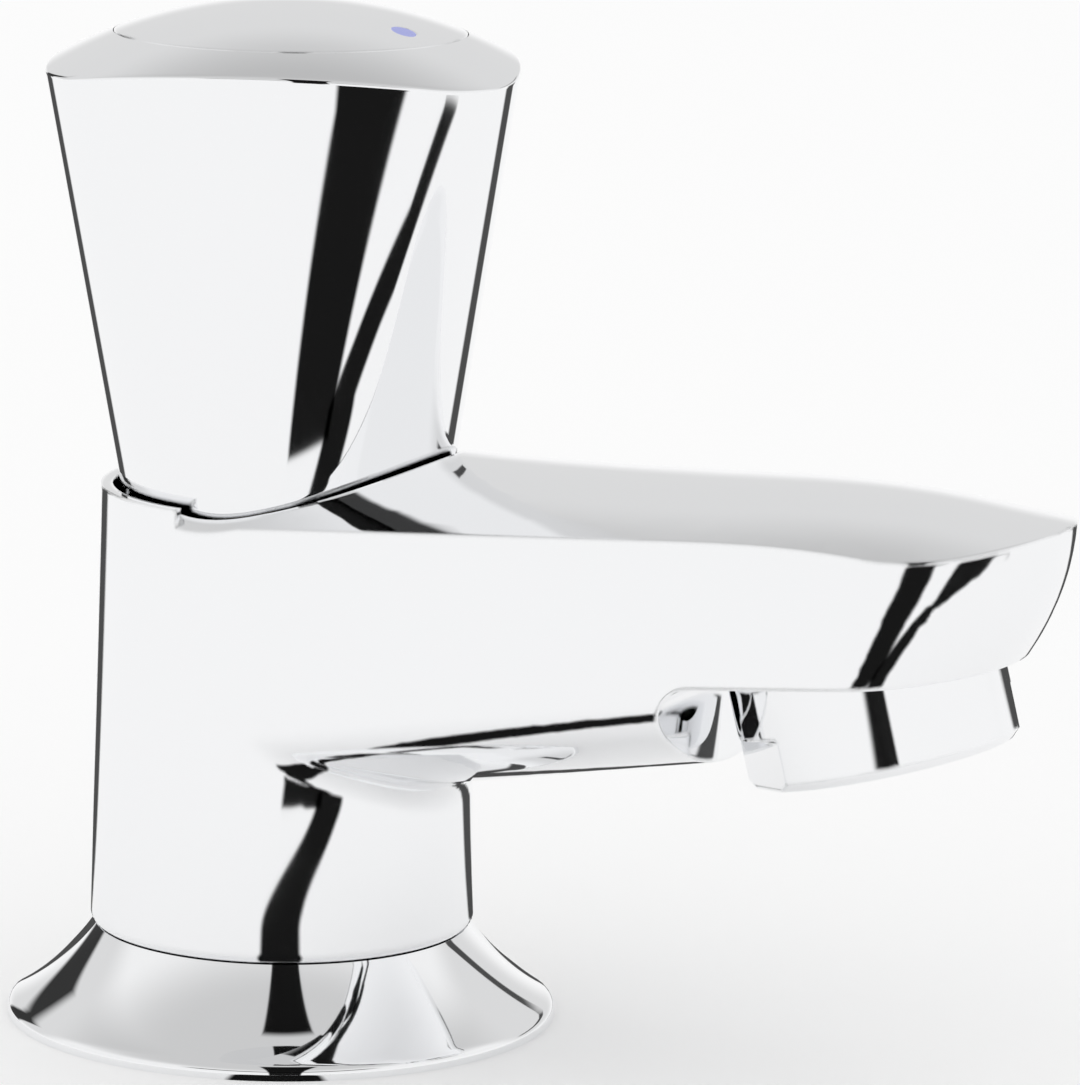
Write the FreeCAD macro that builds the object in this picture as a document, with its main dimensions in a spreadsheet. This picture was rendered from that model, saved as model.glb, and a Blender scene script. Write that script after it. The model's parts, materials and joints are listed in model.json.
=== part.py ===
import FreeCAD, Part
import Sketcher
import math
import os

# A cold water pillar tap for a basin: a chromed body with its spout, a three-sided handle with a
# round cap, a quarter-turn ceramic headwork inside, an aerator under the spout, and the shank,
# washers and nut that hold it in the deck. Millimetres. The deck is the plane Z = 0, the spout
# points along +X and the tap stands on the Z axis.

PARTS = "parts"
TURN = 360.0

SIZES = [
    # base flange, on the deck
    ("flange_radius", 24.8),
    ("flange_rim_height", 1.0),
    ("flange_height", 8.4),
    ("flange_top_radius", 16.9),
    ("flange_hollow_radius", 22.0),
    ("flange_edge_radius", 0.5),
    ("gasket_recess_radius", 20.8),
    ("gasket_height", 2.2),
    ("gasket_side_gap", 0.3),
    # column of the body
    ("column_foot_radius", 17.3),
    ("column_top_radius", 16.4),
    ("column_top", 56.0),
    ("column_edge_radius", 0.9),
    ("collar_radius", 15.5),
    ("collar_floor", 43.0),
    ("collar_flare", 11.0),
    # spout
    ("spout_half_width", 16.3),
    ("spout_taper", 1.4),
    ("spout_reach", 74.0),
    ("spout_corner_radius", 12.0),
    ("spout_corner_from_axis", 60.8),
    ("spout_corner_shift", 0.44),
    ("spout_corner_tighten", 0.31),
    ("spout_end_lean", 5.7),
    ("spout_end_start", 50.0),
    ("spout_end_drop", 13.0),
    ("spout_end_curve", 0.026),
    ("top_half_width", 18.5),
    ("top_edge_height", 46.9),
    ("top_edge_slope", 3.4),
    ("top_arch_at_collar", 3.4),
    ("top_arch_at_end", 3.4),
    ("top_droop_start", 46.0),
    ("top_droop", 3.5),
    ("top_arch_fade", 15.0),
    ("collar_rim", 48.4),
    ("collar_notch", -2.5),
    ("underside_height", 20.0),
    ("underside_slope", 10.6),
    ("underside_radius", 24.0),
    ("underside_edge_radius", 4.0),
    ("throat_radius", 3.0),
    # waterway
    ("socket_depth", 10.6),
    ("seat_wall", 3.5),
    ("seat_hole_radius", 5.0),
    ("chamber_radius", 9.9),
    ("headwork_thread_length", 6.0),
    ("headwork_thread_radius", 11.0),
    ("waterway_radius", 3.6),
    # shank and deck fixing
    ("thread_radius", 10.48),
    ("thread_clearance", 0.05),
    ("shank_below_deck", 48.0),
    ("shank_bore_radius", 6.8),
    ("shank_lead_in", 1.0),
    ("supply_thread_length", 19.0),
    ("relief_width", 1.6),
    ("relief_depth", 0.9),
    ("shank_seal_thickness", 0.8),
    ("clamped_deck", 18.0),
    ("clamp_gasket_radius", 18.5),
    ("clamp_gasket_thickness", 3.0),
    ("clamp_washer_radius", 16.5),
    ("clamp_washer_thickness", 1.5),
    ("washer_clearance", 0.3),
    ("nut_across_flats", 27.0),
    ("nut_height", 6.5),
    ("nut_collar_radius", 15.0),
    ("nut_collar_height", 1.5),
    # headwork
    ("cage_radius", 9.3),
    ("cage_bore_radius", 7.7),
    ("hex_across_flats", 19.0),
    ("hex_height", 5.0),
    ("neck_radius", 6.6),
    ("neck_height", 3.2),
    ("spindle_radius", 4.5),
    ("spindle_clearance", 0.06),
    ("seat_seal_height", 1.8),
    ("disc_radius", 7.5),
    ("disc_thickness", 2.6),
    ("fork_height", 2.8),
    ("thrust_ring_thickness", 0.6),
    ("spline_radius", 4.0),
    ("spline_teeth", 20.0),
    ("spline_tooth_depth", 0.35),
    ("spline_length", 11.0),
    ("ring_wire", 0.85),
    ("clip_thickness", 0.8),
    ("cage_window", 7.0),
    ("tongue_width", 2.6),
    ("tongue_height", 1.0),
    ("tongue_clearance", 0.15),
    # handle
    ("handle_foot_radius", 14.4),
    ("handle_foot_height", 46.2),
    ("handle_rim_height", 86.4),
    ("handle_corner_radius", 12.0),
    ("handle_corner_offset", 10.3),
    ("handle_turn", -12.0),
    ("dome_height", 5.4),
    ("handle_wall", 2.0),
    ("web_over_spindle", 3.3),
    ("handle_web_thickness", 2.4),
    ("handle_hub_radius", 7.6),
    ("insert_radius", 6.2),
    ("cap_radius", 15.6),
    ("cap_thickness", 1.6),
    ("cap_clearance", 0.08),
    ("cap_clip_radius", 12.5),
    ("cap_clip_depth", 4.0),
    ("dot_radius", 1.1),
    ("dot_from_axis", 12.6),
    ("screw_radius", 1.9),
    ("screw_head_radius", 3.6),
    ("screw_head_height", 2.6),
    # aerator
    ("outlet_from_axis", 58.2),
    ("outlet_height", 29.5),
    ("outlet_tilt", 14.5),
    ("outlet_face_tilt", 5.2),
    ("outlet_face_height", 9.0),
    ("outlet_pocket_back", 13.0),
    ("outlet_pocket_radius", 3.0),
    ("aerator_radius", 12.0),
    ("aerator_side_gap", 0.25),
    ("aerator_skirt", 11.2),
    ("aerator_thread_radius", 10.6),
    ("aerator_thread_length", 4.6),
    ("aerator_bore_radius", 9.2),
    ("aerator_lip", 1.2),
    ("aerator_flats", 21.6),
    ("aerator_flat_height", 4.6),
    ("aerator_flat_turn", 42.0),
    ("aerator_clearance", 0.06),
    ("outlet_seal_height", 1.4),
    ("core_wall", 1.4),
    ("core_hole_radius", 0.9),
    ("grille_pitch", 2.2),
    ("grille_bar", 0.5),
    ("grille_thickness", 1.6),
]

doc = FreeCAD.newDocument("basin_tap")
sheet = doc.addObject("Spreadsheet::Sheet", "sizes")
for row, (alias, number) in enumerate(SIZES, start=1):
    sheet.set("A%d" % row, alias)
    sheet.set("B%d" % row, str(number))
    sheet.setAlias("B%d" % row, alias)
doc.recompute()

made = []


def size(alias):
    """The number that the sheet holds under this alias."""
    return float(sheet.get(alias))


def value(text):
    """The number of an expression over the sheet's aliases."""
    return float(sheet.evalExpression(text.replace("sizes.", "")))


def place(piece, z):
    """Puts a piece on the tap's axis with its foot at a height."""
    piece.setExpression("Placement.Base.z", z)
    return piece


def new_body(label):
    piece = doc.addObject("PartDesign::Body", label)
    piece.Label = label
    made.append(piece)
    return piece


def plane_of(body, role):
    return next(f for f in body.Origin.OriginFeatures if f.Role == role)


def new_sketch(body, name, role="XZ_Plane"):
    sketch = body.newObject("Sketcher::SketchObject", name)
    sketch.AttachmentSupport = [(plane_of(body, role), "")]
    sketch.MapMode = "FlatFace"
    return sketch


def bind(sketch, constraint, expression):
    index = sketch.addConstraint(constraint)
    sketch.setExpression("Constraints[%d]" % index, expression)


def draw_outline(sketch, corners):
    """A closed outline of straight edges. Each corner is a pair of expressions, never negative."""
    spots = [FreeCAD.Vector(value(a), value(b), 0) for a, b in corners]
    count = len(spots)
    for n in range(count):
        sketch.addGeometry(Part.LineSegment(spots[n], spots[(n + 1) % count]), False)
    for n in range(count):
        sketch.addConstraint(Sketcher.Constraint("Coincident", n, 2, (n + 1) % count, 1))
    for n, (a, b) in enumerate(corners):
        for axis, kind, text, spot in ((-2, "DistanceX", a, spots[n].x), (-1, "DistanceY", b, spots[n].y)):
            if text == "0":
                sketch.addConstraint(Sketcher.Constraint("PointOnObject", n, 1, axis))
            else:
                bind(sketch, Sketcher.Constraint(kind, -1, 1, n, 1, spot), text)


def turned(label, corners, z="0"):
    """A piece turned about its own Z axis from a half section of (radius, height) corners."""
    body = new_body(label)
    sketch = new_sketch(body, label + "_section")
    draw_outline(sketch, corners)
    turn = body.newObject("PartDesign::Revolution", label + "_turn")
    turn.Profile = sketch
    turn.ReferenceAxis = (sketch, ["V_Axis"])
    turn.Angle = TURN
    place(body, z)
    return body


def tube(label, inner, outer, height, z="0"):
    """A plain ring: the two radii and the height are expressions."""
    return turned(label, [(inner, "0"), (outer, "0"), (outer, height), (inner, height)], z)


def polygon_pad(body, name, sides, across_flats, start, height):
    """A prism with an even number of flats about Z, from start up."""
    sketch = new_sketch(body, name + "_flats", "XY_Plane")
    reach = value(across_flats) / 2 / math.cos(math.pi / sides)
    turns = [2 * math.pi * n / sides for n in range(sides)]
    spots = [FreeCAD.Vector(reach * math.cos(turn), reach * math.sin(turn), 0) for turn in turns]
    for n in range(sides):
        sketch.addGeometry(Part.LineSegment(spots[n], spots[(n + 1) % sides]), False)
    guide = sketch.addGeometry(Part.Circle(FreeCAD.Vector(0, 0, 0), FreeCAD.Vector(0, 0, 1), reach), True)
    sketch.addConstraint(Sketcher.Constraint("Coincident", guide, 3, -1, 1))
    for n in range(sides):
        sketch.addConstraint(Sketcher.Constraint("Coincident", n, 2, (n + 1) % sides, 1))
        sketch.addConstraint(Sketcher.Constraint("PointOnObject", n, 1, guide))
    for n in range(1, sides):
        sketch.addConstraint(Sketcher.Constraint("Equal", 0, n))
    sketch.addConstraint(Sketcher.Constraint("PointOnObject", 0, 1, -1))
    corner_radius = "%s / 2 / cos(180deg / %d)" % (across_flats, sides)
    bind(sketch, Sketcher.Constraint("Radius", guide, reach), corner_radius)
    sketch.setExpression("AttachmentOffset.Base.z", start)
    pad = body.newObject("PartDesign::Pad", name)
    pad.Profile = sketch
    pad.setExpression("Length", height)
    return pad


def round_pocket(body, name, radius, start, depth, across="0"):
    """A round hole along Z from the plane at start upwards, at a distance along X."""
    sketch = new_sketch(body, name + "_circle", "XY_Plane")
    spot = FreeCAD.Vector(value(across), 0, 0)
    ring = sketch.addGeometry(Part.Circle(spot, FreeCAD.Vector(0, 0, 1), value(radius)), False)
    sketch.addConstraint(Sketcher.Constraint("PointOnObject", ring, 3, -1))
    if across == "0":
        sketch.addConstraint(Sketcher.Constraint("PointOnObject", ring, 3, -2))
    else:
        bind(sketch, Sketcher.Constraint("DistanceX", -1, 1, ring, 3, spot.x), across)
    bind(sketch, Sketcher.Constraint("Radius", ring, value(radius)), radius)
    sketch.setExpression("AttachmentOffset.Base.z", start)
    hole = body.newObject("PartDesign::Pocket", name)
    hole.Profile = sketch
    hole.setExpression("Length", depth)
    hole.Reversed = True
    return hole


def shaped(label, shape):
    """A piece whose shape is made by the functions below from the sheet's sizes."""
    piece = doc.addObject("Part::Feature", label)
    piece.Label = label
    piece.Shape = shape
    made.append(piece)
    return piece


# Heights that several pieces share, all worked out from the sheet.
SEAT_FLOOR = "(sizes.flange_height + sizes.socket_depth)"
CHAMBER_FLOOR = "(%s + sizes.seat_wall)" % SEAT_FLOOR
THREAD_FLOOR = "(sizes.collar_floor - sizes.headwork_thread_length)"
CAGE_FLOOR = "(%s + sizes.seat_seal_height * 0.5)" % CHAMBER_FLOOR
FIXED_DISC = "(%s + sizes.seat_seal_height)" % CHAMBER_FLOOR
MOVING_DISC = "(%s + sizes.disc_thickness)" % FIXED_DISC
FORK = "(%s + sizes.disc_thickness)" % MOVING_DISC
THRUST = "(%s + sizes.fork_height)" % FORK
HEX_TOP = "(sizes.collar_floor + sizes.hex_height)"
NECK_TOP = "(%s + sizes.neck_height)" % HEX_TOP
CLIP = "(%s + 0.1)" % NECK_TOP
SPLINE_FLOOR = "(%s + 1.4)" % CLIP
SPINDLE_TOP = "(%s + sizes.spline_length)" % SPLINE_FLOOR
HANDLE_WEB = "(%s + sizes.web_over_spindle)" % SPINDLE_TOP


def base_flange():
    """The skirt that covers the hole in the deck, cast with a recess for its gasket."""
    radius, rim = size("flange_radius"), size("flange_rim_height")
    top, height = size("flange_top_radius"), size("flange_height")
    bore = size("thread_radius") + size("washer_clearance")
    recess, seal = size("gasket_recess_radius"), size("gasket_height")
    foot, shoulder = FreeCAD.Vector(radius, 0, rim), FreeCAD.Vector(top, 0, height)
    middle, chord = (foot + shoulder) * 0.5, shoulder - foot
    bend = size("flange_hollow_radius")
    sag = bend - math.sqrt(bend ** 2 - (chord.Length / 2) ** 2)
    inwards = FreeCAD.Vector(-chord.z, 0, chord.x).normalize()
    corners = [shoulder, FreeCAD.Vector(bore, 0, height), FreeCAD.Vector(bore, 0, seal),
               FreeCAD.Vector(recess, 0, seal), FreeCAD.Vector(recess, 0, 0),
               FreeCAD.Vector(radius, 0, 0), foot]
    edges = [Part.LineSegment(a, b).toShape() for a, b in zip(corners, corners[1:])]
    edges.append(Part.Arc(foot, middle + inwards * sag, shoulder).toShape())
    solid = Part.Face(Part.Wire(edges)).revolve(FreeCAD.Vector(0, 0, 0), FreeCAD.Vector(0, 0, 1), TURN)
    lip = [e for e in solid.Edges if e.BoundBox.ZLength < 0.01 and abs(e.BoundBox.ZMax - rim) < 0.01
           and abs(e.BoundBox.XMax - radius) < 0.01]
    return solid.makeFillet(size("flange_edge_radius"), lip)


def spout_outline(height):
    """The spout seen from above at one height: tapering sides, rounded corners and a bowed end.

    The lower the height, the further the end is drawn in and the tighter its corners turn."""
    half, taper = size("spout_half_width"), math.radians(size("spout_taper"))
    drop = min(max(size("spout_end_start") - height, 0.0), size("spout_end_drop"))
    lean = drop * math.tan(math.radians(size("spout_end_lean"))) + size("spout_end_curve") * drop ** 2
    reach = size("spout_reach") - lean
    corner = size("spout_corner_radius") - size("spout_corner_tighten") * drop
    corner_x = size("spout_corner_from_axis") - size("spout_corner_shift") * lean
    corner_y = half - corner_x * math.tan(taper) - corner / math.cos(taper)
    ahead = reach - corner_x
    bow = (ahead ** 2 + corner_y ** 2 - corner ** 2) / 2 / (ahead - corner)
    turn = math.atan2(corner_y, corner_x - reach + bow)

    def spot(x, y):
        return FreeCAD.Vector(x, y, height)

    def bend(side):
        spots = []
        for angle in (math.pi / 2 - taper, (math.pi / 2 - taper + turn) / 2, turn):
            across = side * (corner_y + corner * math.sin(angle))
            spots.append(spot(corner_x + corner * math.cos(angle), across))
        return spots

    left, right = bend(1), bend(-1)
    back = spot(0, -half), spot(0, half)
    edges = [
        Part.LineSegment(back[0], right[0]).toShape(),
        Part.Arc(*right).toShape(),
        Part.Arc(right[2], spot(reach, 0), left[2]).toShape(),
        Part.Arc(*reversed(left)).toShape(),
        Part.LineSegment(left[0], back[1]).toShape(),
        Part.LineSegment(back[1], back[0]).toShape(),
    ]
    return Part.Wire(edges)


def top_section(along):
    """An upright section at one distance along the spout: an arched top over straight sides."""
    edge = size("top_edge_height") + along * math.tan(math.radians(size("top_edge_slope")))
    past = max(0.0, along - size("top_droop_start")) / (size("spout_reach") - size("top_droop_start"))
    edge -= size("top_droop") * past ** 2
    rise = size("top_arch_at_end") + size("top_arch_at_collar") * math.exp(-along / size("top_arch_fade"))
    radius = (size("spout_half_width") ** 2 + rise ** 2) / 2 / rise
    half, floor, crown = size("top_half_width"), -size("flange_radius"), edge + rise
    side = crown - radius + math.sqrt(radius ** 2 - half ** 2)
    spots = [FreeCAD.Vector(along, half, side), FreeCAD.Vector(along, half, floor),
             FreeCAD.Vector(along, -half, floor), FreeCAD.Vector(along, -half, side)]
    edges = [Part.LineSegment(a, b).toShape() for a, b in zip(spots, spots[1:])]
    edges.append(Part.Arc(spots[3], FreeCAD.Vector(along, 0, crown), spots[0]).toShape())
    return Part.Wire(edges)


def under_top():
    """The space under the level rim at the back and the arched top, which flattens to the outlet."""
    start, end, steps = size("collar_notch"), size("spout_reach") + 4, 9
    sections = [top_section(start + (end - start) * n / steps) for n in range(steps + 1)]
    deep = 2 * size("flange_radius")
    back = Part.makeBox(deep, deep, deep, FreeCAD.Vector(start - deep, -deep / 2, size("collar_rim") - deep))
    return Part.makeLoft(sections, True, False).fuse(back)


def above_underside():
    """The space over the spout's rounded underside, which rises and narrows towards the outlet."""
    bend, top = size("underside_radius"), size("column_top")
    along = size("spout_reach") + size("flange_radius")

    def section(x):
        half = size("spout_half_width") - x * math.tan(math.radians(size("spout_taper")))
        floor = size("underside_height") + x * math.tan(math.radians(size("underside_slope")))
        rise = bend - math.sqrt(bend ** 2 - half ** 2)
        corners = [FreeCAD.Vector(x, half, floor + rise), FreeCAD.Vector(x, half, floor + top),
                   FreeCAD.Vector(x, -half, floor + top), FreeCAD.Vector(x, -half, floor + rise)]
        edges = [Part.LineSegment(a, b).toShape() for a, b in zip(corners, corners[1:])]
        edges.append(Part.Arc(corners[3], FreeCAD.Vector(x, 0, floor), corners[0]).toShape())
        return Part.Wire(edges)

    solid = Part.makeLoft([section(0), section(along)], True, True)
    rounded = [e for e in solid.Edges
               if e.BoundBox.XLength > along - 1 and e.BoundBox.ZMin < size("underside_height") + bend / 2]
    return solid.makeFillet(size("underside_edge_radius"), rounded)


def outlet_frame():
    """Where the aerator sits: its foot in the middle of the outlet, its Z axis up into the spout."""
    foot = FreeCAD.Vector(size("outlet_from_axis"), 0, size("outlet_height"))
    return FreeCAD.Placement(foot, FreeCAD.Rotation(FreeCAD.Vector(0, 1, 0), -size("outlet_tilt")))


def at_outlet(shape):
    """A shape made at the origin, moved to the outlet."""
    shape.Placement = outlet_frame().multiply(shape.Placement)
    return shape


def outlet_face():
    """The space in front of the spout's outlet face, which lies flatter than the aerator."""
    reach = size("flange_radius") + size("spout_reach")
    space = Part.makeBox(reach, reach, reach, FreeCAD.Vector(-size("outlet_pocket_back"), -reach / 2, -reach))
    inner = [e for e in space.Edges if e.BoundBox.YLength > reach - 1 and e.BoundBox.ZMin > -1
             and e.BoundBox.XMax < 0]
    space = space.makeFillet(size("outlet_pocket_radius"), inner)
    lean = size("outlet_tilt") - size("outlet_face_tilt")
    space.rotate(FreeCAD.Vector(0, 0, 0), FreeCAD.Vector(0, 1, 0), lean)
    space.translate(FreeCAD.Vector(0, 0, size("outlet_face_height")))
    return at_outlet(space)


def spout_block():
    """The spout's outside: its plan drawn in towards the foot, its underside and its outlet face."""
    low, high = size("underside_height"), size("column_top")
    start, drop = size("spout_end_start"), size("spout_end_drop")
    heights = [low, start - drop]
    heights += [start - drop * share for share in (0.75, 0.5, 0.25, 0.0)]
    heights.append(high)
    block = Part.makeLoft([spout_outline(height) for height in heights], True, False)
    return block.common(above_underside()).cut(outlet_face())


def body_cavities():
    """Everything bored out of the casting, from the shank's socket to the aerator's."""
    def bore(radius, low, high):
        return Part.makeCylinder(radius, high - low, FreeCAD.Vector(0, 0, low))

    socket_top, chamber = value(SEAT_FLOOR), value(CHAMBER_FLOOR)
    collar, top = size("collar_floor"), size("column_top")
    thread = size("headwork_thread_radius") + size("thread_clearance")
    tools = [
        bore(size("thread_radius") + size("thread_clearance"), 0, socket_top),
        bore(size("seat_hole_radius"), 0, chamber),
        bore(size("chamber_radius"), chamber, collar),
        bore(thread, value(THREAD_FLOOR), top),
        bore(size("collar_radius"), collar, top),
    ]
    rim = size("collar_rim")
    flare = (top - rim) * math.tan(math.radians(size("collar_flare")))
    tools.append(Part.makeCone(size("collar_radius"), size("collar_radius") + flare, top - rim,
                               FreeCAD.Vector(0, 0, rim)))
    frame = outlet_frame()
    skirt = size("aerator_skirt")
    depth = size("aerator_thread_length") + size("outlet_seal_height")
    mouth = Part.makeCylinder(size("aerator_thread_radius") + size("aerator_clearance"), depth,
                              FreeCAD.Vector(0, 0, skirt))
    tools.append(at_outlet(mouth))
    recess = Part.makeCylinder(size("aerator_radius") + size("aerator_side_gap"), skirt)
    tools.append(at_outlet(recess))
    start = FreeCAD.Vector(0, 0, (chamber + value(THREAD_FLOOR)) / 2)
    end = frame.multVec(FreeCAD.Vector(0, 0, skirt + depth - size("waterway_radius") / 2))
    run = end - start
    tools.append(Part.makeCylinder(size("waterway_radius"), run.Length, start, run))
    return tools


def tap_body():
    """Column and spout in one casting, bored for the shank, the headwork and the aerator."""
    foot = size("flange_height")
    column = Part.makeCone(size("column_foot_radius"), size("column_top_radius"),
                           size("column_top") - foot, FreeCAD.Vector(0, 0, foot))
    foot_edge = [e for e in column.Edges if e.BoundBox.ZLength < 0.01 and abs(e.BoundBox.ZMin - foot) < 0.01]
    column = column.makeFillet(size("column_edge_radius"), foot_edge)
    outside = column.fuse(spout_block()).removeSplitter()
    throat = [e for e in outside.Edges if throat_edge(e)]
    outside = outside.makeFillet(size("throat_radius"), throat)
    outside = outside.common(under_top())
    for tool in body_cavities():
        outside = outside.cut(tool)
    return outside


def throat_edge(edge):
    """The curve where the spout's underside meets the column."""
    box = edge.BoundBox
    floor = size("underside_height")
    foot = size("column_foot_radius")
    return (box.XMax < foot + 1 and box.XMin > 0.5 and box.ZMin > floor - 1
            and box.ZMax < size("collar_floor") - 2 and box.YLength > 1)


def lobed_wire(corner_radius, corner_offset, height, shrink=0.0):
    """A three-sided outline: corner arcs of 60 degrees joined by flatter face arcs of 60 degrees."""
    corner = corner_radius - shrink
    face = corner + corner_offset * math.sqrt(3)
    turn = math.radians(size("handle_turn"))
    edges = []

    def arc(centre, radius, middle):
        turns = (middle - math.pi / 6, middle, middle + math.pi / 6)
        spots = [centre + FreeCAD.Vector(radius * math.cos(turn), radius * math.sin(turn), 0)
                 for turn in turns]
        edges.append(Part.Arc(*spots).toShape())

    for n in range(3):
        nose = turn + 2 * math.pi * n / 3
        centre = FreeCAD.Vector(corner_offset * math.cos(nose), corner_offset * math.sin(nose), height)
        arc(centre, corner, nose)
        side = nose + math.pi / 3
        centre = FreeCAD.Vector(-corner_offset * math.cos(side), -corner_offset * math.sin(side), height)
        arc(centre, face, side)
    return Part.Wire(edges)


def handle_form(shrink):
    """The handle's tapering outside, or with shrink the hollow inside it."""
    foot, rim = size("handle_foot_height"), size("handle_rim_height")
    low = lobed_wire(size("handle_foot_radius"), 0.0, foot, shrink)
    lid = rim + size("dome_height")
    share = (lid - foot) / (rim - foot)
    foot_radius = size("handle_foot_radius")
    grown_radius = foot_radius + (size("handle_corner_radius") - foot_radius) * share
    grown = lobed_wire(grown_radius, size("handle_corner_offset") * share, lid, shrink)
    return Part.makeLoft([low, grown], True, True)


def dome(drop=0.0):
    """The ball that the handle's top and its cap are cut from, lowered by drop for an inner face."""
    rise = size("dome_height")
    reach = size("handle_corner_radius") + size("handle_corner_offset") * 0.866
    radius = (reach ** 2 + rise ** 2) / 2 / rise
    centre = size("handle_rim_height") + rise - radius
    return Part.makeSphere(radius - drop, FreeCAD.Vector(0, 0, centre))


def handle_shell():
    """The three-sided handle: a thin shell with a domed top, a web and a hub for the insert."""
    outside = handle_form(0.0)
    inside = handle_form(size("handle_wall"))
    web, thick = value(HANDLE_WEB), size("handle_web_thickness")
    foot, top = size("handle_foot_height"), size("handle_rim_height") + size("dome_height")
    cap, gap = size("cap_radius"), size("cap_clearance")
    reach = size("flange_radius") * 2
    shell = outside.common(dome())
    hollow_low = inside.common(Part.makeBox(2 * reach, 2 * reach, web - foot,
                                            FreeCAD.Vector(-reach, -reach, foot)))
    hollow_high = inside.common(dome(size("cap_thickness") + size("handle_wall")))
    hollow_high = hollow_high.common(Part.makeBox(2 * reach, 2 * reach, reach,
                                                  FreeCAD.Vector(-reach, -reach, web + thick)))
    shell = shell.cut(hollow_low).cut(hollow_high)
    well = Part.makeCylinder(cap + gap, reach, FreeCAD.Vector(0, 0, web + thick))
    ledge = dome(size("cap_thickness") + gap)
    shell = shell.cut(well.cut(ledge))
    clip_hole = Part.makeCylinder(size("cap_clip_radius") + gap, top - web, FreeCAD.Vector(0, 0, web + thick))
    shell = shell.cut(clip_hole)
    hub_floor = value(SPLINE_FLOOR)
    hub_foot = FreeCAD.Vector(0, 0, hub_floor)
    hub = Part.makeCylinder(size("handle_hub_radius"), web - hub_floor + thick / 2, hub_foot)
    shell = shell.fuse(hub)
    socket = Part.makeCylinder(size("insert_radius"), web - hub_floor, FreeCAD.Vector(0, 0, hub_floor))
    screw_hole = Part.makeCylinder(size("screw_radius") + size("washer_clearance"), reach,
                                   FreeCAD.Vector(0, 0, hub_floor))
    return shell.cut(socket).cut(screw_hole).removeSplitter()


def index_cap():
    """The round cap over the screw: a slice of the dome with a clip ring under it."""
    cap, drop = size("cap_radius"), size("cap_thickness")
    low = value(HANDLE_WEB)
    slug = Part.makeCylinder(cap, size("flange_radius") * 2, FreeCAD.Vector(0, 0, low))
    plate = slug.common(dome()).cut(dome(drop))
    clip, depth = size("cap_clip_radius"), size("cap_clip_depth")
    top = size("handle_rim_height") + size("dome_height") - drop
    skirt = Part.makeCylinder(clip, top - low, FreeCAD.Vector(0, 0, low))
    skirt = skirt.cut(Part.makeCylinder(clip - drop, top - low, FreeCAD.Vector(0, 0, low)))
    skirt = skirt.common(dome(drop / 2))
    skirt = skirt.common(Part.makeBox(4 * cap, 4 * cap, top,
                                      FreeCAD.Vector(-2 * cap, -2 * cap, top - 2 * drop - depth)))
    return plate.fuse(skirt).cut(dot_column()).removeSplitter()


def dot_column():
    """A thin upright post where the cold water dot sits, over one corner of the handle."""
    turn = math.radians(size("handle_turn"))
    away = size("dot_from_axis")
    spot = FreeCAD.Vector(away * math.cos(turn), away * math.sin(turn), size("handle_rim_height"))
    return Part.makeCylinder(size("dot_radius"), size("flange_radius"), spot)


def cold_dot():
    """The blue dot, flush with the cap."""
    slice_of_dome = dot_column().common(dome())
    return slice_of_dome.cut(dome(size("cap_thickness") / 2))


def spline_profile(radius, depth, teeth):
    """A round outline with straight-sided teeth, from a loop."""
    spots = []
    for n in range(teeth):
        for step, reach in ((0.0, radius), (0.3, radius), (0.5, radius - depth), (0.8, radius - depth)):
            angle = 2 * math.pi * (n + step) / teeth
            spots.append(FreeCAD.Vector(reach * math.cos(angle), reach * math.sin(angle), 0))
    return Part.Face(Part.makePolygon(spots + spots[:1]))


def spindle():
    """The brass spindle: a fork that turns the disc, a stem with ring grooves and a splined end."""
    teeth = int(size("spline_teeth"))
    fork, thrust, clip = value(FORK), value(THRUST), value(CLIP)
    spline, top = value(SPLINE_FLOOR), value(SPINDLE_TOP)
    radius, ring = size("spindle_radius"), size("ring_wire")
    solid = Part.makeCylinder(size("cage_bore_radius") - 0.2, thrust - fork, FreeCAD.Vector(0, 0, fork))
    solid = solid.fuse(Part.makeCylinder(radius, spline - thrust, FreeCAD.Vector(0, 0, thrust)))
    end = spline_profile(size("spline_radius"), size("spline_tooth_depth"), teeth)
    end = end.extrude(FreeCAD.Vector(0, 0, top - spline))
    solid = solid.fuse(end.translated(FreeCAD.Vector(0, 0, spline)))
    for middle in ring_heights():
        solid = solid.cut(groove(radius, ring, middle, 2.4 * ring))
    solid = solid.cut(groove(radius, ring, clip + size("clip_thickness") / 2, size("clip_thickness") + 0.1))
    pilot = Part.makeCylinder(size("screw_radius"), size("spline_length"),
                              FreeCAD.Vector(0, 0, top - size("spline_length") + 1))
    wide, high, disc = size("tongue_width"), size("tongue_height"), size("disc_radius")
    tongue = Part.makeBox(wide, 2 * disc, high, FreeCAD.Vector(-wide / 2, -disc, fork - high))
    round_end = Part.makeCylinder(disc - size("washer_clearance"), high, FreeCAD.Vector(0, 0, fork - high))
    tongue = tongue.common(round_end)
    return solid.cut(pilot).fuse(tongue).removeSplitter()


def ring_heights():
    """The two heights of the rubber rings on the spindle."""
    low, high = value(THRUST) + size("thrust_ring_thickness") + 2.2, value(HEX_TOP)
    return (low, (low + high) / 2 + 1.0)


def groove(radius, wire, middle, width):
    """A ring-shaped tool that cuts a groove round the stem."""
    outer = Part.makeCylinder(radius + 1, width, FreeCAD.Vector(0, 0, middle - width / 2))
    return outer.cut(Part.makeCylinder(radius - wire, width, FreeCAD.Vector(0, 0, middle - width / 2)))


def spindle_rings():
    """The two rubber rings in the spindle's grooves, one group of separate solids."""
    wire = size("ring_wire") / 2
    centre = size("spindle_radius") + size("spindle_clearance") - wire - 0.02
    rings = [Part.makeTorus(centre, wire, FreeCAD.Vector(0, 0, z)) for z in ring_heights()]
    return Part.makeCompound(rings)


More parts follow.
